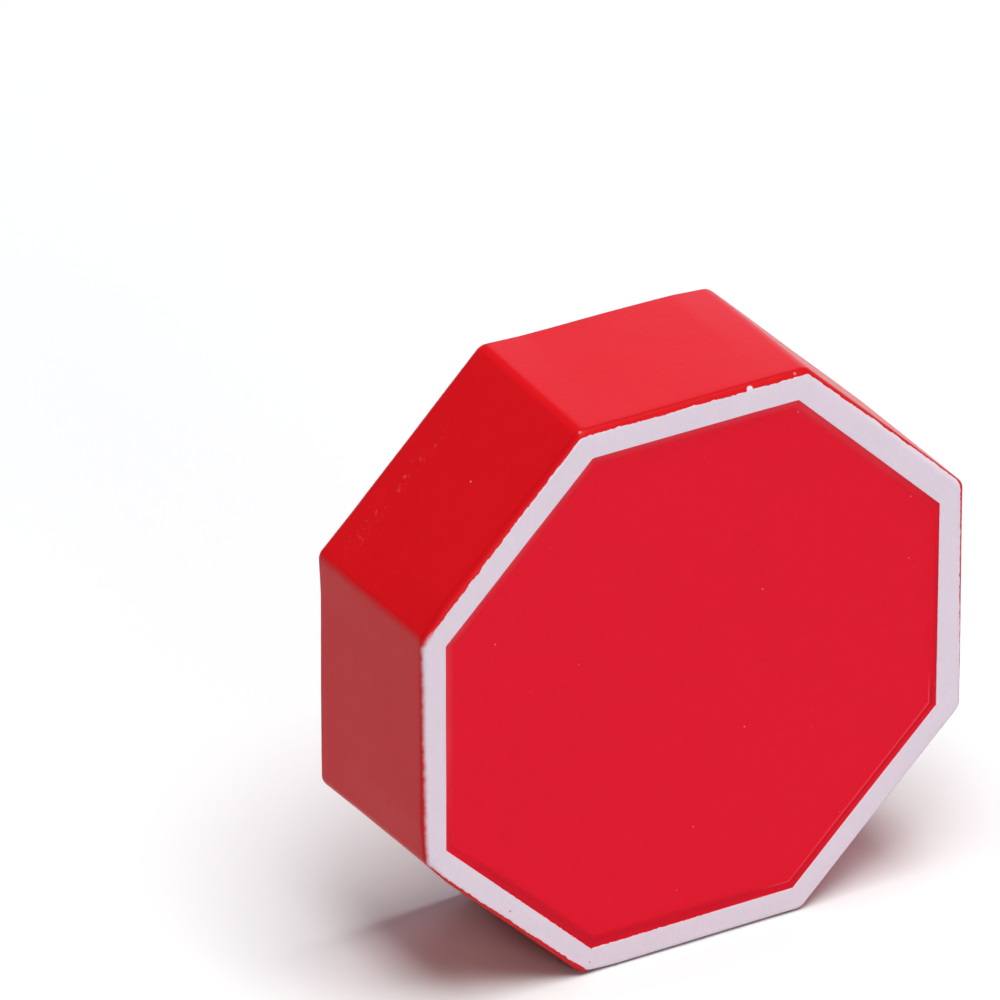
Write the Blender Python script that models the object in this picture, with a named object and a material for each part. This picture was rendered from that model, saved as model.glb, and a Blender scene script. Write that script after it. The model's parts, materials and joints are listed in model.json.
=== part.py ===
"""A squeeze toy in the shape of a stop sign: a foam core with a moulded skin, raised rims and dished panels.

Metres, +Z up. The toy stands on its bottom side, the origin is at the middle of that side, and the front
faces -Y. Every piece is lofted through rounded octagons that are concentric with the toy. A profile point is
(inset, depth): how far in it lies from the eight sides, and how far behind the front face.
"""

import math

import bmesh
import bpy

ACROSS_FLATS = 0.076
THICKNESS = 0.024
RIM_WIDTH = 0.00385
RECESS = 0.0004
COVE_RUN = 0.0014
PANEL_SKIN = 0.0014
EDGE_RADIUS = 0.0013
CORNER_RADIUS = 0.0020
SHARP_RADIUS = 0.0004
SEAM = 0.0003

RIM_DEPTH = RECESS + PANEL_SKIN
PANEL_EDGE = RIM_WIDTH + SEAM
PANEL_LIP = 0.0002
CORE_INSET = RIM_DEPTH + SEAM
MITRE_SHIFT = SEAM / math.sqrt(2)

SIDES = 8
HALF_SIDE_ANGLE = math.pi / SIDES
CORNER_STEPS = 6
ARC_STEPS = 6

RED = (0.70, 0.010, 0.026, 1.0)
WHITE = (0.72, 0.63, 0.71, 1.0)
CREAM = (0.80, 0.70, 0.56, 1.0)


def clear_scene():
    for obj in list(bpy.data.objects):
        bpy.data.objects.remove(obj, do_unlink=True)


def make_material(name, colour, roughness):
    material = bpy.data.materials.new(name)
    material.use_nodes = True
    shader = material.node_tree.nodes["Principled BSDF"]
    shader.inputs["Base Color"].default_value = colour
    shader.inputs["Roughness"].default_value = roughness
    shader.inputs["Metallic"].default_value = 0.0
    material.diffuse_color = colour
    return material


def edge_arc(start, end):
    """Profile points on the rounding between a face and the sides, from angle 0 on the face to 90 on a side."""
    points = []
    for step in range(ARC_STEPS + 1):
        angle = start + (end - start) * step / ARC_STEPS
        inset = EDGE_RADIUS * (1 - math.sin(angle))
        depth = EDGE_RADIUS * (1 - math.cos(angle))
        points.append((inset, depth))
    return points


def mitre_angle():
    """The angle on the rounding where a rim stops, half a seam short of the mitre."""
    return math.acos(MITRE_SHIFT / (math.sqrt(2) * EDGE_RADIUS)) - math.pi / 4


def mirrored(profile):
    """The same profile on the back face."""
    return [(inset, THICKNESS - depth) for inset, depth in profile]


def rim_profile():
    outer = edge_arc(0.0, mitre_angle())
    foot = (RIM_DEPTH + MITRE_SHIFT, RIM_DEPTH)
    return [(RIM_WIDTH, 0.0), *outer, foot, (RIM_WIDTH, RIM_DEPTH)]


def side_profile():
    front = edge_arc(math.pi / 2 - mitre_angle(), math.pi / 2)
    inner = (RIM_DEPTH, RIM_DEPTH + MITRE_SHIFT)
    half = [inner, *front]
    return half + mirrored(half)[::-1]


def panel_profile():
    """From the flat of the dish up its cove, over its lip and round to the back of the panel."""
    cove = []
    for step in range(ARC_STEPS + 1):
        angle = math.pi / 2 * (1 - step / ARC_STEPS)
        inset = PANEL_EDGE + PANEL_LIP + COVE_RUN * (1 - math.cos(angle))
        cove.append((inset, RECESS * math.sin(angle)))
    return [*cove, (PANEL_EDGE, 0.0), (PANEL_EDGE, RIM_DEPTH)]


def core_profile():
    return [(CORE_INSET, CORE_INSET), (CORE_INSET, THICKNESS - CORE_INSET)]


def octagon_loop(mesh, inset, depth):
    """One rounded octagon of vertices, at that inset and depth."""
    apothem = ACROSS_FLATS / 2 - inset
    radius = max(CORNER_RADIUS - inset, SHARP_RADIUS)
    centre_distance = (apothem - radius) / math.cos(HALF_SIDE_ANGLE)
    loop = []
    for corner in range(SIDES):
        corner_angle = (2 * corner + 1) * HALF_SIDE_ANGLE
        for step in range(CORNER_STEPS + 1):
            angle = corner_angle + HALF_SIDE_ANGLE * (2 * step / CORNER_STEPS - 1)
            x = centre_distance * math.cos(corner_angle) + radius * math.cos(angle)
            z = centre_distance * math.sin(corner_angle) + radius * math.sin(angle)
            loop.append(mesh.verts.new((x, depth - THICKNESS / 2, z + ACROSS_FLATS / 2)))
    return loop


def join_loops(mesh, first, second):
    for index in range(len(first)):
        following = (index + 1) % len(first)
        mesh.faces.new((first[index], first[following], second[following], second[index]))


def loft(name, profile, material, ring):
    """A closed solid through the profile's octagons: a ring, or else a solid with a flat face at each end."""
    mesh = bmesh.new()
    loops = [octagon_loop(mesh, inset, depth) for inset, depth in profile]
    for first, second in zip(loops, loops[1:]):
        join_loops(mesh, first, second)
    if ring:
        join_loops(mesh, loops[-1], loops[0])
    else:
        mesh.faces.new(loops[0])
        mesh.faces.new(loops[-1])
    bmesh.ops.recalc_face_normals(mesh, faces=mesh.faces)
    data = bpy.data.meshes.new(name)
    mesh.to_mesh(data)
    mesh.free()
    data.materials.append(material)
    obj = bpy.data.objects.new(name, data)
    bpy.context.scene.collection.objects.link(obj)
    return obj


def main():
    clear_scene()
    red_paint = make_material("red_paint", RED, 0.55)
    white_paint = make_material("white_paint", WHITE, 0.6)
    bare_foam = make_material("bare_foam", CREAM, 0.9)
    loft("foam_core", core_profile(), bare_foam, ring=False)
    loft("side_skin", side_profile(), red_paint, ring=True)
    loft("front_rim", rim_profile(), white_paint, ring=True)
    loft("front_panel", panel_profile(), red_paint, ring=False)
    loft("back_rim", mirrored(rim_profile()), white_paint, ring=True)
    loft("back_panel", mirrored(panel_profile()), red_paint, ring=False)


main()
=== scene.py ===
"""Looks for the foam stop sign stress toy: foam skins with chipped paint, a floor, lights and a camera.

Lengths are in metres in the row frame. Node materials work in millimetres of object coordinates, so the
grain, the pinholes and the paint's edges keep their size on every piece.
"""

import json
import math

import bmesh
import bpy
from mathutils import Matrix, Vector, noise


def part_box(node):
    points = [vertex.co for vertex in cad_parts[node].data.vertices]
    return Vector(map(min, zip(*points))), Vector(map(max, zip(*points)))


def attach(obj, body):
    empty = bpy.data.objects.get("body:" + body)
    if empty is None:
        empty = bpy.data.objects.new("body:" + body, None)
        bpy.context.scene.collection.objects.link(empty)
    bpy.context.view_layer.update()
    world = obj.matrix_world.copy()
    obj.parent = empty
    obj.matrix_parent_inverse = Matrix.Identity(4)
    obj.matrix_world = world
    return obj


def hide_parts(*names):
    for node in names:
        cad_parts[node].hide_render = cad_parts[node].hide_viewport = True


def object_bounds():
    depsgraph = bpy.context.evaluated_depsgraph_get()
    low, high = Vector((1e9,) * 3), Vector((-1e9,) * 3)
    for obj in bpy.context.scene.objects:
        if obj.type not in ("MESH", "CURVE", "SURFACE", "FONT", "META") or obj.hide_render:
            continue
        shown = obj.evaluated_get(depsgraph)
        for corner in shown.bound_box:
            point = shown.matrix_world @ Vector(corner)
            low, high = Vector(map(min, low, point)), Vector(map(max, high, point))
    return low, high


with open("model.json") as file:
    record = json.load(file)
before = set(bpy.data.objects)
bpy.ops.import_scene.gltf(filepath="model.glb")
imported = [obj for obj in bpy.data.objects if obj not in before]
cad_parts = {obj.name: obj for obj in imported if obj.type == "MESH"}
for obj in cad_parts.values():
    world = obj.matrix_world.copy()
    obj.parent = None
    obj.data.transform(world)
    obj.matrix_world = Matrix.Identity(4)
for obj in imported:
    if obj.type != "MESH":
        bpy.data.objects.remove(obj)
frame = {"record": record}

CAD_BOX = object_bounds()
SIDE_LOW, SIDE_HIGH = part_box("side_skin")
PANEL_LOW, PANEL_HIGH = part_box("front_panel")
RIM_LOW, RIM_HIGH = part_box("front_rim")
CORE_LOW, CORE_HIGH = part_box("foam_core")
PANEL_FACE = next(m for m in frame["record"]["mounts"] if m["name"] == "back_panel_face")

MM = 1000.0
SEAM = 0.0003
APOTHEM = (SIDE_HIGH.x - SIDE_LOW.x) / 2
CENTRE_Z = (SIDE_HIGH.z + SIDE_LOW.z) / 2
THICKNESS = CAD_BOX[1].y - CAD_BOX[0].y
RIM_DEPTH = RIM_HIGH.y - RIM_LOW.y
RIM_WIDTH = APOTHEM - (PANEL_HIGH.x - PANEL_LOW.x) / 2 - SEAM
RECESS = THICKNESS / 2 - PANEL_FACE["pos_m"][1]
CORE_INSET = APOTHEM - (CORE_HIGH.x - CORE_LOW.x) / 2
CORE_DEPTH = THICKNESS / 2 - CORE_HIGH.y

DRAFT = 0.005
# How much fuller or flatter than true a side is, at the front and at the back: (side, front, back).
SIDE_SWELLS = ((1, 0.0, -0.0006), (3, 0.0, 0.0003), (4, -0.0007, 0.0001), (5, -0.0005, 0.0))
# The back's upper left corner lies a little off true: its place (right, up), the push and its reach.
BACK_CORNER = (-0.0157, 0.038)
BACK_CORNER_PUSH = Vector((-0.0001, 0.0, 0.0003))
BACK_CORNER_REACH = 0.025
# How far the panels sit off the toy's middle, to the right and up.
PANEL_SHIFT = Vector((0.0001, 0.0, -0.00015))
EDGE_RADIUS = 0.0009
CORNER_RADIUS = 0.0018
PANEL_CORNER_RADIUS = 0.0004
CORE_EDGE_RADIUS = 0.0008

# The cove between the panel's flat and the rim: its run, the share of the recess that it climbs, and the
# power of its curve.
COVE_RUN = 0.0016
COVE_CLIMB = 0.85
COVE_CURVE = 2.4
# The fine line that the mould's insert left in the cove: how far in from the rim, its width and height.
INSERT_LINE = 0.00085
INSERT_LINE_WIDTH = 0.00007
INSERT_LINE_HEIGHT = 0.000035
# The small step from the cove up to the rim's flat: its run, and its lip as (share of the run, depth).
STEP_RUN = 0.00012
STEP_LIP = (0.4, 0.00001)

# The foam's unevenness, slow and quick: waves a metre, a shift that picks the pattern, and a height.
# mathutils.noise moves its patterns by a seed, which it takes from the clock unless one is set.
UNEVEN_SEED = 5
SLOW_WAVES = (70.0, Vector((3.1, 7.7, 1.9)), 0.00007)
QUICK_WAVES = (260.0, Vector((9.2, 0.4, 5.3)), 0.000012)

SIDES = 8
HALF_SIDE_ANGLE = math.pi / SIDES
HALF_SIDE_STEPS = 24
CORNER_CROWDING = 1.7
COVE_STEPS = 40
RIM_FLAT_STEPS = 5
EDGE_STEPS = 8
SIDE_STEPS = 22
CORE_EDGE_STEPS = 5
CORE_SIDE_STEPS = 10
SHARP_ANGLE = 50


# ---------------------------------------------------------------- outlines

def side_normal(side):
    """The way a side faces. The sides are numbered from the right and round by the top."""
    angle = side * 2 * HALF_SIDE_ANGLE
    return Vector((math.cos(angle), 0.0, math.sin(angle)))


SIDE_NORMALS = [side_normal(side) for side in range(SIDES)]


def octagon_reach(x, z):
    """How far out a point lies, measured square to the side that it is nearest to."""
    return max(normal.x * x + normal.z * z for normal in SIDE_NORMALS)


def side_fractions():
    """Fractions along half a side, from its middle at 0 to the corner at 1, crowded to the corner."""
    steps = range(HALF_SIDE_STEPS + 1)
    return [1 - (1 - step / HALF_SIDE_STEPS) ** CORNER_CROWDING for step in steps]


def half_side_point(apothem, radius, fraction):
    """(out, along) of a point on half a side of a rounded octagon, by its share of that length."""
    straight = (apothem - radius) * math.tan(HALF_SIDE_ANGLE)
    reach = fraction * (straight + radius * HALF_SIDE_ANGLE)
    if reach <= straight:
        return apothem, reach
    turn = (reach - straight) / radius
    return apothem - radius + radius * math.cos(turn), straight + radius * math.sin(turn)


def octagon(inset, radius):
    """The (x, z) points of a rounded octagon that lies inset from the sides, round its centre."""
    fractions = side_fractions()
    signed = [-f for f in reversed(fractions[1:])] + fractions[:-1]
    points = []
    for side in range(SIDES):
        angle = side * 2 * HALF_SIDE_ANGLE
        for fraction in signed:
            out, along = half_side_point(APOTHEM - inset, radius, abs(fraction))
            along = math.copysign(along, fraction)
            x = out * math.cos(angle) - along * math.sin(angle)
            z = out * math.sin(angle) + along * math.cos(angle)
            points.append((x, z))
    return points


def corner_radius(inset):
    """How round the corners are at that inset: the mould's outside, and nearly sharp round the panel."""
    if inset <= RIM_WIDTH:
        return max(CORNER_RADIUS - inset, PANEL_CORNER_RADIUS)
    return PANEL_CORNER_RADIUS * max(0.0, 1 - (inset - RIM_WIDTH) / COVE_RUN)


# ---------------------------------------------------------------- sections: (inset, depth behind the front)

def mirrored(profile):
    """The same section at the back of the toy."""
    return [(inset, THICKNESS - depth) for inset, depth in profile]


def cove_depth(inset):
    """The panel's surface in the cove, with the fine line that the mould's insert left."""
    climb = 1 - (inset - RIM_WIDTH) / COVE_RUN
    line = math.exp(-((inset - RIM_WIDTH - INSERT_LINE) / INSERT_LINE_WIDTH) ** 2)
    return RECESS * (1 - COVE_CLIMB * climb ** COVE_CURVE) - INSERT_LINE_HEIGHT * line


def panel_profile():
    """From the flat up the cove to the rim's edge, then round the hidden back of the panel."""
    insets = [RIM_WIDTH + COVE_RUN * (1 - step / COVE_STEPS) for step in range(COVE_STEPS + 1)]
    cove = [(inset, cove_depth(inset)) for inset in insets]
    foot = RIM_WIDTH + COVE_RUN
    return [*cove, (RIM_WIDTH, RIM_DEPTH), (foot, RIM_DEPTH)]


def edge_arc(radius, start, end, steps):
    """The rounding between a face and the sides, from 0 degrees on the face to 90 on a side."""
    points = []
    for step in range(steps + 1):
        angle = math.radians(start + (end - start) * step / steps)
        inset = radius * (1 - math.sin(angle))
        depth = radius * (1 - math.cos(angle))
        points.append((inset, depth))
    return points


def rim_profile():
    """A rim's section: a small step up from the panel, the flat and half of the outer rounding."""
    lip_share, lip_depth = STEP_LIP
    flat_start = RIM_WIDTH - STEP_RUN
    step_up = [
        (RIM_WIDTH, cove_depth(RIM_WIDTH)),
        (RIM_WIDTH - STEP_RUN * lip_share, lip_depth),
        (flat_start, 0.0),
    ]
    flat = []
    for step in range(1, RIM_FLAT_STEPS):
        flat.append((flat_start + (EDGE_RADIUS - flat_start) * step / RIM_FLAT_STEPS, 0.0))
    back = [(RIM_DEPTH, RIM_DEPTH), (RIM_WIDTH, RIM_DEPTH)]
    return step_up + flat + edge_arc(EDGE_RADIUS, 0, 45, EDGE_STEPS) + back


def side_profile():
    """The side skin's section: half of each outer rounding, the sides, and the hidden inner wall."""
    front = [(RIM_DEPTH, RIM_DEPTH), *edge_arc(EDGE_RADIUS, 45, 90, EDGE_STEPS)]
    span = THICKNESS - 2 * EDGE_RADIUS
    side = [(0.0, EDGE_RADIUS + span * step / SIDE_STEPS) for step in range(1, SIDE_STEPS)]
    return front + side + mirrored(reversed(front))


def core_profile():
    """The foam block's section, with rounded edges."""
    arc = edge_arc(CORE_EDGE_RADIUS, 0, 90, CORE_EDGE_STEPS)
    front = [(RIM_WIDTH + COVE_RUN, CORE_DEPTH)]
    front += [(CORE_INSET + inset, CORE_DEPTH + depth) for inset, depth in arc]
    start = CORE_DEPTH + CORE_EDGE_RADIUS
    span = THICKNESS - 2 * start
    side = [(CORE_INSET, start + span * step / CORE_SIDE_STEPS) for step in range(1, CORE_SIDE_STEPS)]
    return front + side + mirrored(reversed(front))


# ---------------------------------------------------------------- meshes

def uneven(point):
    """How far hand-poured foam strays from the mould's true shape at that point."""
    stray = Vector()
    for rate, shift, height in (SLOW_WAVES, QUICK_WAVES):
        stray += noise.noise_vector(point * rate + shift) * height
    return stray


def outer_share(out):
    """How much a point takes on of the outline's shape, from 0 at the panel's edge to 1 at the sides."""
    return min(max((out - APOTHEM + RIM_WIDTH) / RIM_WIDTH, 0.0), 1.0)


def swell(x, depth, z):
    """How far off true a point lies: uneven sides, a back corner pushed over, panels off the middle."""
    back_share = depth / THICKNESS
    share = outer_share(octagon_reach(x, z))
    push = PANEL_SHIFT * (1 - share)
    for side, front_amount, back_amount in SIDE_SWELLS:
        normal = SIDE_NORMALS[side]
        amount = front_amount * (1 - back_share) + back_amount * back_share
        push += normal * amount * outer_share(normal.x * x + normal.z * z)
    distance = math.dist((x, z), BACK_CORNER)
    nearness = max(0.0, 1 - distance / BACK_CORNER_REACH)
    return push + BACK_CORNER_PUSH * nearness * back_share * share


def place(x, depth, z):
    """A point of the toy: wider towards the back, off true, uneven, and flat where it rests."""
    widening = 1 + DRAFT * outer_share(octagon_reach(x, z)) * (depth / THICKNESS - 0.5)
    point = Vector((x * widening, depth - THICKNESS / 2, z * widening + CENTRE_Z))
    point += swell(x, depth, z)
    point += uneven(point)
    point.z = max(point.z, SIDE_LOW.z)
    return point


def ring_of_vertices(mesh, inset, depth):
    outline = octagon(inset, corner_radius(inset))
    return [mesh.verts.new(place(x, depth, z)) for x, z in outline]


def join_rings(mesh, first, second):
    """A band of faces between two rings."""
    count = len(first)
    for index in range(count):
        following = (index + 1) % count
        mesh.faces.new((first[index], first[following], second[following], second[index]))


def fill_flat(mesh, ring, inset, depth):
    """Fills a sharp octagon ring with eight kites of quads that meet in the middle."""
    known = {}

    def vertex(x, z):
        key = (round(x, 7), round(z, 7))
        if key not in known:
            known[key] = mesh.verts.new(place(x, depth, z))
        return known[key]

    for (x, z), rim_vertex in zip(octagon(inset, 0.0), ring):
        known[(round(x, 7), round(z, 7))] = rim_vertex
    apothem = APOTHEM - inset
    corner_distance = apothem / math.cos(HALF_SIDE_ANGLE)
    fractions = side_fractions()
    for side in range(SIDES):
        angles = (side * 2, side * 2 + 1, side * 2 + 2)
        reach = (apothem, corner_distance, apothem)
        near, tip, far = (
            Vector((r * math.cos(a * HALF_SIDE_ANGLE), r * math.sin(a * HALF_SIDE_ANGLE)))
            for a, r in zip(angles, reach)
        )
        grid = []
        for u in fractions:
            row = []
            for v in fractions:
                point = near * u * (1 - v) + far * v * (1 - u) + tip * u * v
                row.append(vertex(point.x, point.y))
            grid.append(row)
        for low, high in zip(grid, grid[1:]):
            for index in range(HALF_SIDE_STEPS):
                mesh.faces.new((low[index], high[index], high[index + 1], low[index + 1]))


def shape(name, profile, closed):
    """A solid through the profile's octagons: a ring if closed, else a block with two flat faces."""
    mesh = bmesh.new()
    rings = [ring_of_vertices(mesh, inset, depth) for inset, depth in profile]
    for first, second in zip(rings, rings[1:]):
        join_rings(mesh, first, second)
    if closed:
        join_rings(mesh, rings[-1], rings[0])
    else:
        for ring, (inset, depth) in ((rings[0], profile[0]), (rings[-1], profile[-1])):
            fill_flat(mesh, ring, inset, depth)
    bmesh.ops.recalc_face_normals(mesh, faces=mesh.faces)
    for face in mesh.faces:
        face.smooth = True
    data = bpy.data.meshes.new(name)
    mesh.to_mesh(data)
    mesh.free()
    data.set_sharp_from_angle(angle=math.radians(SHARP_ANGLE))
    obj = bpy.data.objects.new(name, data)
    bpy.context.scene.collection.objects.link(obj)
    return obj


# ---------------------------------------------------------------- materials

class Graph:
    """A material's nodes, with short ways to add the ones used here."""

    def __init__(self, name):
        self.material = bpy.data.materials.new(name)
        self.material.use_nodes = True
        self.tree = self.material.node_tree
        self.shader = self.tree.nodes["Principled BSDF"]

    def put(self, socket, value):
        if isinstance(value, bpy.types.NodeSocket):
            self.tree.links.new(value, socket)
        else:
            socket.default_value = value

    def node(self, kind, **settings):
        made = self.tree.nodes.new(kind)
        for key, value in settings.items():
            setattr(made, key, value)
        return made

    def math(self, operation, *values, clamp=False):
        """A Math node's result, for the values on its sockets."""
        made = self.node("ShaderNodeMath", operation=operation, use_clamp=clamp)
        for socket, value in zip(made.inputs, values):
            self.put(socket, value)
        return made.outputs[0]

    def add(self, *values):
        total = values[0]
        for value in values[1:]:
            total = self.math("ADD", total, value)
        return total

    def times(self, *values):
        total = values[0]
        for value in values[1:]:
            total = self.math("MULTIPLY", total, value)
        return total

    def line(self, value, slope, offset):
        """The value times the slope, plus the offset."""
        return self.math("MULTIPLY_ADD", value, slope, offset)

    def gap(self, value, centre):
        """How far the value lies from the centre, either way."""
        return self.math("ABSOLUTE", self.math("SUBTRACT", value, centre))

    def smooth(self, value, low, high):
        """0 below low and 1 above high, with a soft step between. low may be above high."""
        made = self.node("ShaderNodeMapRange", interpolation_type="SMOOTHSTEP")
        for socket, number in zip(made.inputs, (value, low, high, 0.0, 1.0)):
            self.put(socket, number)
        return made.outputs["Result"]

    def millimetres(self, shift=(0.0, 0.0, 0.0)):
        """Object coordinates in millimetres, moved by shift, which also sets two patterns apart."""
        source = self.node("ShaderNodeTexCoord").outputs["Object"]
        made = self.node("ShaderNodeVectorMath", operation="MULTIPLY_ADD")
        self.put(made.inputs[0], source)
        made.inputs[1].default_value = (MM, MM, MM)
        made.inputs[2].default_value = shift
        return made.outputs[0]

    def noise(self, size, detail=3.0, rough=0.5, shift=(0.0, 0.0, 0.0)):
        """Noise from about -1 to 1 whose features are about size millimetres across."""
        made = self.node("ShaderNodeTexNoise")
        self.put(made.inputs["Vector"], self.millimetres(shift))
        made.inputs["Scale"].default_value = 1.0 / size
        made.inputs["Detail"].default_value = detail
        made.inputs["Roughness"].default_value = rough
        return self.line(made.outputs["Fac"], 2.0, -1.0)

    def mix(self, factor, first, second):
        """A colour between two, from the first at 0 to the second at 1."""
        made = self.node("ShaderNodeMix", data_type="RGBA")
        self.put(made.inputs["Factor"], factor)
        self.put(made.inputs[6], first)
        self.put(made.inputs[7], second)
        return made.outputs[2]

    def toned(self, colour, factor):
        """The colour made lighter or darker by a factor."""
        made = self.node("ShaderNodeVectorMath", operation="SCALE")
        self.put(made.inputs[0], colour)
        self.put(made.inputs["Scale"], factor)
        return made.outputs[0]

    def bump(self, height, distance):
        """Gives the shader relief: a height of 1 stands that distance proud, in metres."""
        made = self.node("ShaderNodeBump")
        made.inputs["Strength"].default_value = 1.0
        made.inputs["Distance"].default_value = distance
        self.put(made.inputs["Height"], height)
        self.put(self.shader.inputs["Normal"], made.outputs[0])


class Toy:
    """Where a shaded point lies, in millimetres from the toy's middle, as sockets of one material."""

    def __init__(self, graph):
        self.graph = graph
        self.place = graph.millimetres((0.0, 0.0, -MM * CENTRE_Z))
        split = graph.node("ShaderNodeSeparateXYZ")
        graph.put(split.inputs[0], self.place)
        self.x, self.y, self.z = split.outputs
        depth = graph.math("SUBTRACT", FRONT, graph.math("ABSOLUTE", self.y))
        self.depth = graph.math("MAXIMUM", depth, 0.0)
        self.reach = self.past(((0.0, 0.0),) * SIDES)

    def past(self, lines):
        """How far the point lies past the furthest of eight lines, one a side: (how far out, tilt)."""
        g = self.graph
        furthest = FAR_INSIDE
        for side, (reach, tilt) in enumerate(lines):
            angle = side * 2 * HALF_SIDE_ANGLE + tilt
            across = g.line(self.x, math.cos(angle), -reach)
            beyond = g.line(self.z, math.sin(angle), across)
            furthest = g.math("MAXIMUM", beyond, furthest)
        return furthest

    def facing(self, right, up):
        """How far the point's side faces that way. right and up make a direction on the front."""
        g = self.graph
        along = g.line(self.x, right, g.times(self.z, up))
        return g.math("DIVIDE", along, self.reach)

    def distance(self, spot):
        """How far the point is from a spot on the front: (right, depth, up)."""
        made = self.graph.node("ShaderNodeVectorMath", operation="DISTANCE")
        self.graph.put(made.inputs[0], self.place)
        made.inputs[1].default_value = (spot[0], spot[1] - FRONT, spot[2])
        return made.outputs["Value"]

    def spots(self, places):
        """Round spots on the front: (right, depth, up, radius, strength) of each."""
        g = self.graph
        covered = 0.0
        for *spot, radius, strength in places:
            inside = g.smooth(self.distance(spot), radius, SPOT_CORE * radius)
            covered = g.math("MAXIMUM", covered, g.times(inside, strength))
        return covered


# The front's distance from the middle of the toy, a place that is further in than any line, and the share
# of a spot's radius that is solid colour.
FRONT = MM * THICKNESS / 2
FAR_INSIDE = -1000.0
SPOT_CORE = 0.6

WHITE_PAINT = (0.60, 0.52, 0.59, 1.0)
PANEL_RED = (0.605, 0.0056, 0.0200, 1.0)
SIDE_RED = (0.570, 0.0042, 0.0086, 1.0)
BARE_FOAM = (0.80, 0.62, 0.55, 1.0)
CELL_WALL = (0.86, 0.77, 0.64, 1.0)
# The cells' hollows are painted darker: painted shade.
CELL_HOLLOW_SHADE = (0.70, 0.58, 0.44, 1.0)

# The white paint's outer line on each side, from the right and round by the top: millimetres out at the
# middle of the side, and the line's tilt in radians. The painter's line isn't the mould's.
WHITE_LINES = (
    (37.55, 0.020), (37.75, 0.022), (37.30, 0.0), (37.20, 0.020),
    (37.10, 0.025), (36.90, 0.018), (38.30, 0.0), (37.75, 0.0),
)
RIM_EDGE_LINES = tuple(
    (MM * (APOTHEM - RIM_WIDTH + PANEL_SHIFT.dot(normal)), 0.0)
    for normal in SIDE_NORMALS
)
# Drips and flecks on the front: (right, depth, up, radius, strength) of each.
WHITE_DRIPS = (
    (7.5, 0.1, 37.35, 0.50, 1.0),
    (13.8, 0.3, 37.6, 0.22, 0.3),
    (-15.6, 0.5, 37.9, 0.30, 0.2),
)
RED_FLECKS = (
    (-25.3, 0.0, -25.5, 0.15, 1.0),
    (-14.2, 0.0, -36.2, 0.13, 1.0),
)
# The lower corner where the painted shade in the cove is deepest and the white's inner line is frayed.
DARK_CORNER = (-14.0, 0.0, -34.0)

# How far the white's outer line wanders and frays, how sharp it is, and how sharp on the left side.
WHITE_WANDER = 0.22
WHITE_RAGGED = 0.34
WHITE_EDGE = 0.05
WHITE_EDGE_LEFT = 0.55
# Where the left side's sharpness takes over, from one x to another.
LEFT_FADE = (3.0 - MM * APOTHEM, 1.6 - MM * APOTHEM)
# How far the white's inner line frays by the dark corner, the share of that elsewhere, and its sharpness.
INNER_FRAY = 0.16
INNER_FRAY_ELSEWHERE = 0.1
INNER_EDGE = 0.07


def white_outer_edge(g, toy):
    """1 inside the white's ragged outer line, and a soft step to 0 past it."""
    wander = g.times(g.noise(size=11.0, detail=1.0), WHITE_WANDER)
    ragged = g.times(g.noise(size=0.9, rough=0.65, shift=(31.0, 5.0, 17.0)), WHITE_RAGGED)
    left = g.smooth(toy.x, *LEFT_FADE)
    sharpness = g.line(left, WHITE_EDGE_LEFT - WHITE_EDGE, WHITE_EDGE)
    past = g.add(toy.past(WHITE_LINES), toy.depth, wander, ragged)
    return g.smooth(g.math("DIVIDE", past, sharpness), 1.0, -1.0)


def white_inner_edge(g, toy):
    """1 outside the panel's edge, which is crisp but for some fraying by the dark corner."""
    fray = g.times(g.noise(size=0.6, rough=0.65, shift=(3.0, 51.0, 9.0)), INNER_FRAY)
    by_corner = g.smooth(toy.distance(DARK_CORNER), 22.0, 8.0)
    fray = g.times(fray, g.line(by_corner, 1 - INNER_FRAY_ELSEWHERE, INNER_FRAY_ELSEWHERE))
    return g.smooth(g.math("ADD", toy.past(RIM_EDGE_LINES), fray), 0.0, INNER_EDGE)


def white_coverage(g, toy):
    """1 where the white paint lies: on the rim's flat, and in the drips past its outer line."""
    band = g.times(white_outer_edge(g, toy), white_inner_edge(g, toy))
    dripped = g.math("MAXIMUM", band, toy.spots(WHITE_DRIPS))
    return g.times(dripped, g.math("SUBTRACT", 1.0, toy.spots(RED_FLECKS)))


# The panel's paint: how strong the white dust with painted glare and the painted highlight on the ridge
# are, and how much the painted shade in the lower cove darkens.
DUST_AND_GLARE = 0.045
RIDGE_HIGHLIGHT = 0.06
LOWER_COVE_SHADE = -0.25
# The share of the painted shade in the lower cove that lies away from the dark corner.
LOWER_COVE_SHADE_ELSEWHERE = 0.55
# The ways that the upper sides, with the white dust and painted glare, and the lower right side face, as
# (right, up).
DUST_AND_GLARE_WAY = (-0.3, 0.8)
LOWER_RIGHT_WAY = (1.0, -1.0)
# Where the ridge and the groove beside it lie, in millimetres in from the rim.
RIDGE_LINE = -MM * INSERT_LINE
GROOVE_LINE = 0.6 * RIDGE_LINE


def dust_and_painted_glare(g, past, upward):
    """White paint dust together with a painted glare: a paler colour in the cove by the rim's upper sides,
    standing in for the bright floor reflected there.
    """
    patchy = g.line(g.noise(size=9.0, detail=2.0, shift=(8.0, 3.0, 2.0)), 0.7, 0.8)
    return g.times(g.smooth(past, -1.4, -0.2), g.smooth(upward, -0.05, 0.45), patchy, DUST_AND_GLARE)


def lower_cove_shade(g, toy, past, upward):
    """Painted shade in the cove by the rim's lower sides, the deepest at the dark corner."""
    corner_nearness = g.smooth(toy.distance(DARK_CORNER), 44.0, 14.0)
    band = g.smooth(g.math("ADD", past, corner_nearness), -0.7, 0.1)
    low = g.smooth(upward, 0.15, -0.25)
    return g.times(band, low, g.line(corner_nearness, 1 - LOWER_COVE_SHADE_ELSEWHERE, LOWER_COVE_SHADE_ELSEWHERE))


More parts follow.
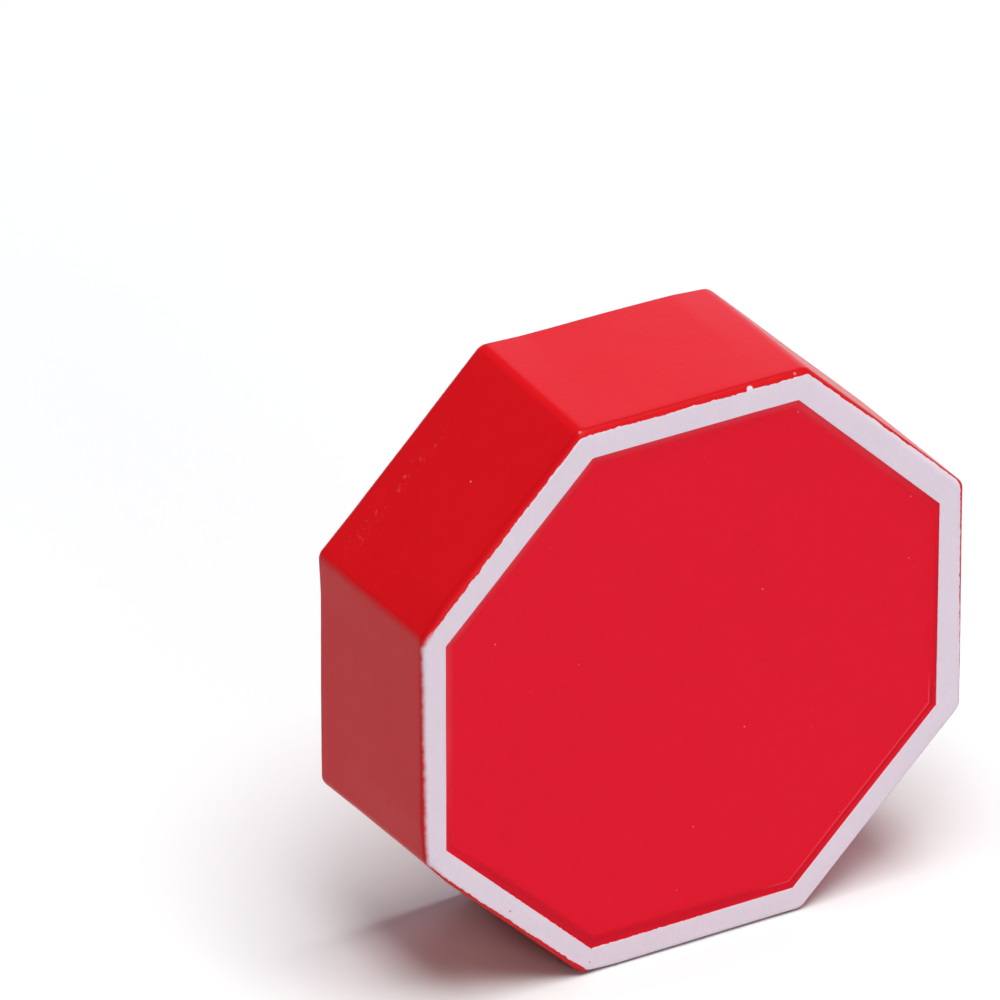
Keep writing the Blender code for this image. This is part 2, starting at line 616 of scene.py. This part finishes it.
def panel_red(g, toy):
    """The red of the panel: white dust and painted glare by the rim's upper sides, painted shade in the
    cove by its lower ones, and a painted highlight and shade along the ridge.
    """
    past = toy.past(RIM_EDGE_LINES)
    upward = toy.facing(*DUST_AND_GLARE_WAY)
    lower_right = g.smooth(toy.facing(*LOWER_RIGHT_WAY), 1.27, 1.38)
    # A painted highlight along the ridge and painted shade in the groove beside it, on the lower right side
    # only.
    ridge_highlight = g.times(g.smooth(g.gap(past, RIDGE_LINE), 0.13, 0.02), lower_right, RIDGE_HIGHLIGHT)
    groove_shade = g.times(g.smooth(g.gap(past, GROOVE_LINE), 0.25, 0.05), lower_right)
    # pale holds the white dust with painted glare and the ridge's painted highlight; dark holds the painted
    # shade.
    pale = g.math("MAXIMUM", dust_and_painted_glare(g, past, upward), ridge_highlight)
    dark = g.math("MAXIMUM", lower_cove_shade(g, toy, past, upward), groove_shade)
    return g.toned(g.mix(pale, PANEL_RED, WHITE_PAINT), g.line(dark, LOWER_COVE_SHADE, 1.0))


# The painted shade on the roundings by the rims: its middle, as a depth, and how much it darkens.
ROUNDING_DEPTH = 0.45
ROUNDING_SHADE = -0.15


def side_red(g, toy):
    """The red of the sides, with painted shade on the roundings by the rims."""
    rounding_shade = g.smooth(g.gap(toy.depth, ROUNDING_DEPTH), 0.75, 0.1)
    return g.toned(SIDE_RED[:3], g.line(rounding_shade, ROUNDING_SHADE, 1.0))


# The rubbed row on the upper left side: how far back it lies, and where its middle is along the side.
SCUFF_BACK = 7.6
SCUFF_MIDDLE = -4.4


def scuffs(g, toy):
    """Faint pale rubbing in a row near the back edge of the upper left side."""
    row = g.smooth(g.gap(toy.y, SCUFF_BACK), 1.3, 0.6)
    along = g.times(g.math("ADD", toy.x, toy.z), math.sqrt(0.5))
    ends = g.smooth(g.gap(along, SCUFF_MIDDLE), 10.5, 8.5)
    side = g.smooth(toy.facing(-1.0, 1.0), 1.38, 1.41)
    worn = g.smooth(g.noise(size=0.7, detail=2.0, rough=0.6, shift=(12.0, 14.0, 3.0)), 0.15, 0.5)
    return g.times(row, ends, side, worn)


# The smallest pit's share of the largest one's radius.
PIT_SMALLEST = 0.35


def pinholes(g, spacing, radius, share, shift):
    """1 in the middle of small round pits scattered about, in that share of the cells."""
    made = g.node("ShaderNodeTexVoronoi")
    g.put(made.inputs["Vector"], g.millimetres(shift))
    made.inputs["Scale"].default_value = 1.0 / spacing
    chosen = g.node("ShaderNodeSeparateColor")
    g.put(chosen.inputs[0], made.outputs["Color"])
    here = g.math("LESS_THAN", chosen.outputs[0], share)
    size = g.line(chosen.outputs[1], radius, PIT_SMALLEST * radius)
    distance = g.times(made.outputs["Distance"], spacing)
    near = g.math("SUBTRACT", 1.0, g.math("DIVIDE", distance, size), clamp=True)
    return g.times(near, here)


# The small pits' share of the cells against the large pits'.
SMALL_PIT_SHARE = 0.7
# How much bare foam shows in a pit and in a scuff, and how deep a pit is, in millimetres.
PIT_BARE = 0.6
SCUFF_BARE = 0.10
PIT_DEPTH = 0.10
# How much the tone varies in large clouds and in fine speckle, and the roughness in speckle.
CLOUD_TONE = 0.03
SPECKLE_TONE = 0.05
SPECKLE_ROUGHNESS = 0.05
# The height of the skin's slow waves against the pebbles'.
SKIN_SHARE = 0.8


def painted_foam(name, red, grain, shine, roughness, pitted):
    """Matt paint on a finely pebbled foam skin: red, with the rim's white over it where that reaches.

    grain is the pebbles' height in millimetres, and pitted the share of the cells that hold a large pit.
    """
    g = Graph(name)
    toy = Toy(g)
    large_pits = pinholes(g, 2.3, 0.17, pitted, (2.0, 8.0, 4.0))
    small_pits = pinholes(g, 1.4, 0.08, SMALL_PIT_SHARE * pitted, (7.0, 1.0, 3.0))
    pits = g.math("MAXIMUM", large_pits, small_pits)
    cloud = g.noise(size=9.0, rough=0.6, shift=(13.0, 2.0, 41.0))
    speckle = g.noise(size=0.45, detail=2.0, rough=0.6, shift=(5.0, 23.0, 11.0))
    tone = g.line(cloud, CLOUD_TONE, g.line(speckle, SPECKLE_TONE, 1.0))
    paint = g.toned(g.mix(white_coverage(g, toy), red(g, toy), WHITE_PAINT), tone)
    bare = g.math("MAXIMUM", g.times(pits, PIT_BARE), g.times(scuffs(g, toy), SCUFF_BARE))
    g.put(g.shader.inputs["Base Color"], g.mix(bare, paint, BARE_FOAM))
    g.put(g.shader.inputs["Roughness"], g.line(speckle, SPECKLE_ROUGHNESS, roughness))
    g.shader.inputs["Specular IOR Level"].default_value = shine
    pebbles = g.times(g.noise(size=0.33, rough=0.55, shift=(19.0, 3.0, 29.0)), grain)
    skin = g.times(g.noise(size=1.6, detail=2.0, shift=(1.0, 37.0, 6.0)), SKIN_SHARE * grain)
    g.bump(g.add(pebbles, skin, g.times(large_pits, -PIT_DEPTH)), 1 / MM)
    return g.material


# The bare foam: cells a millimetre, how thick their walls look, and how deep they are, in metres.
CELL_RATE = 1.6
CELL_WALL_WIDTH = 0.25
CELL_DEPTH = 0.00015


def cellular_foam(name):
    """The open, pale foam inside, with its cells, painted darker in their hollows as shade."""
    g = Graph(name)
    cells = g.node("ShaderNodeTexVoronoi", feature="DISTANCE_TO_EDGE")
    g.put(cells.inputs["Vector"], g.millimetres())
    cells.inputs["Scale"].default_value = CELL_RATE
    hollow = g.smooth(cells.outputs["Distance"], 0.0, CELL_WALL_WIDTH)
    g.put(g.shader.inputs["Base Color"], g.mix(hollow, CELL_WALL, CELL_HOLLOW_SHADE))
    g.shader.inputs["Roughness"].default_value = 0.92
    g.shader.inputs["Specular IOR Level"].default_value = 0.2
    g.bump(g.times(hollow, -1.0), CELL_DEPTH)
    return g.material


# ---------------------------------------------------------------- the toy

def foam_piece(obj, material, node):
    """Gives a foam piece its material, and its place in the frame."""
    obj.data.materials.append(material)
    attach(obj, "root")
    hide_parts(node)


def build_toy():
    noise.seed_set(UNEVEN_SEED)
    side_paint = painted_foam(
        "pebbled_red_side", side_red, grain=0.009, shine=0.105, roughness=0.32, pitted=0.03
    )
    rim_paint = painted_foam(
        "white_rim", side_red, grain=0.006, shine=0.12, roughness=0.45, pitted=0.06
    )
    panel_paint = painted_foam(
        "smooth_red_panel", panel_red, grain=0.006, shine=0.05, roughness=0.45, pitted=0.14
    )
    foam = cellular_foam("bare_foam")
    pieces = (
        # node, section, whether it is a closed ring, material, slot
        ("foam_core", core_profile(), False, foam, "bare_foam"),
        ("side_skin", side_profile(), True, side_paint, "red_side_paint"),
        ("front_rim", rim_profile(), True, rim_paint, "white_rim_paint"),
        ("front_panel", panel_profile(), False, panel_paint, "red_panel_paint"),
        ("back_rim", mirrored(rim_profile()), True, rim_paint, "white_rim_paint"),
        ("back_panel", mirrored(panel_profile()), False, panel_paint, "red_panel_paint"),
    )
    for node, profile, closed, material, slot_name in pieces:
        piece = shape(f"{node}_foam", profile, closed)
        foam_piece(piece, material, node)


# ---------------------------------------------------------------- the studio

CAMERA_PLACE = Vector((-0.6964, -1.1906, 0.8573))
CAMERA_AIM = Vector((-0.0267, -0.0120, 0.0700))
CAMERA_LENS = 478.7
CAMERA_FAR = 30.0

STUDIO_WHITE = (1.0, 1.0, 1.0, 1.0)
FLOOR_WHITE = (0.75, 0.77, 0.77, 1.0)
FLOOR_HALF_SIZE = 1.6
# The world's strength round the horizon and above it, and how high the pale part goes, as a direction's z.
HORIZON_STRENGTH = 0.7
STUDIO_DIM = 0.04
HORIZON_TOP = 0.03
LIGHTS = (
    # name, place, size, watts, colour
    ("top_softbox", Vector((0.00, -0.69, 2.94)), 2.07, 124.0, (1.0, 1.0, 1.0)),
    ("front_softbox", Vector((0.00, -2.10, 0.43)), 1.20, 18.0, (1.0, 1.0, 1.0)),
    ("back_softbox", Vector((0.00, 2.10, 0.43)), 1.20, 9.0, (1.0, 1.0, 1.0)),
    ("back_right_panel", Vector((0.90, 0.90, 0.55)), 0.80, 3.8, (1.0, 0.78, 1.0)),
)
LIGHT_AIM = Vector((0.0, 0.0, CENTRE_Z))


def aim(obj, target):
    """Turns a camera or a light towards the target."""
    obj.rotation_euler = (target - obj.location).to_track_quat("-Z", "Y").to_euler()


def build_camera():
    camera = bpy.data.objects.new("camera", bpy.data.cameras.new("camera"))
    bpy.context.scene.collection.objects.link(camera)
    camera.location = CAMERA_PLACE
    aim(camera, CAMERA_AIM)
    camera.data.lens = CAMERA_LENS
    camera.data.clip_end = CAMERA_FAR
    bpy.context.scene.camera = camera


def build_lights():
    for name, location, size, watts, tint in LIGHTS:
        light = bpy.data.lights.new(name, "AREA")
        light.shape = "SQUARE"
        light.size = size
        light.energy = watts
        light.color = tint
        obj = bpy.data.objects.new(name, light)
        bpy.context.scene.collection.objects.link(obj)
        obj.location = location
        aim(obj, LIGHT_AIM)


def build_world():
    """Pale round the horizon, behind the floor's edge, and dark above, so the softboxes shape the toy."""
    world = bpy.data.worlds.new("studio")
    world.use_nodes = True
    tree = world.node_tree
    direction = tree.nodes.new("ShaderNodeTexCoord")
    split = tree.nodes.new("ShaderNodeSeparateXYZ")
    fade = tree.nodes.new("ShaderNodeMapRange")
    background = tree.nodes["Background"]
    fade.inputs["From Min"].default_value = HORIZON_TOP
    fade.inputs["From Max"].default_value = 2 * HORIZON_TOP
    fade.inputs["To Min"].default_value = HORIZON_STRENGTH
    fade.inputs["To Max"].default_value = STUDIO_DIM
    tree.links.new(direction.outputs["Generated"], split.inputs[0])
    tree.links.new(split.outputs["Z"], fade.inputs["Value"])
    tree.links.new(fade.outputs["Result"], background.inputs["Strength"])
    background.inputs["Color"].default_value = STUDIO_WHITE
    bpy.context.scene.world = world


def build_floor():
    """A plain pale sweep that the toy stands on."""
    mesh = bmesh.new()
    bmesh.ops.create_grid(mesh, x_segments=1, y_segments=1, size=FLOOR_HALF_SIZE)
    data = bpy.data.meshes.new("floor")
    mesh.to_mesh(data)
    mesh.free()
    floor = bpy.data.objects.new("floor", data)
    bpy.context.scene.collection.objects.link(floor)
    floor.location.z = SIDE_LOW.z
    g = Graph("floor_white")
    g.shader.inputs["Base Color"].default_value = FLOOR_WHITE
    g.shader.inputs["Roughness"].default_value = 0.9
    g.shader.inputs["Specular IOR Level"].default_value = 0.1
    data.materials.append(g.material)


bpy.context.scene.view_settings.view_transform = "Standard"
build_toy()
build_floor()
build_lights()
build_world()
build_camera()
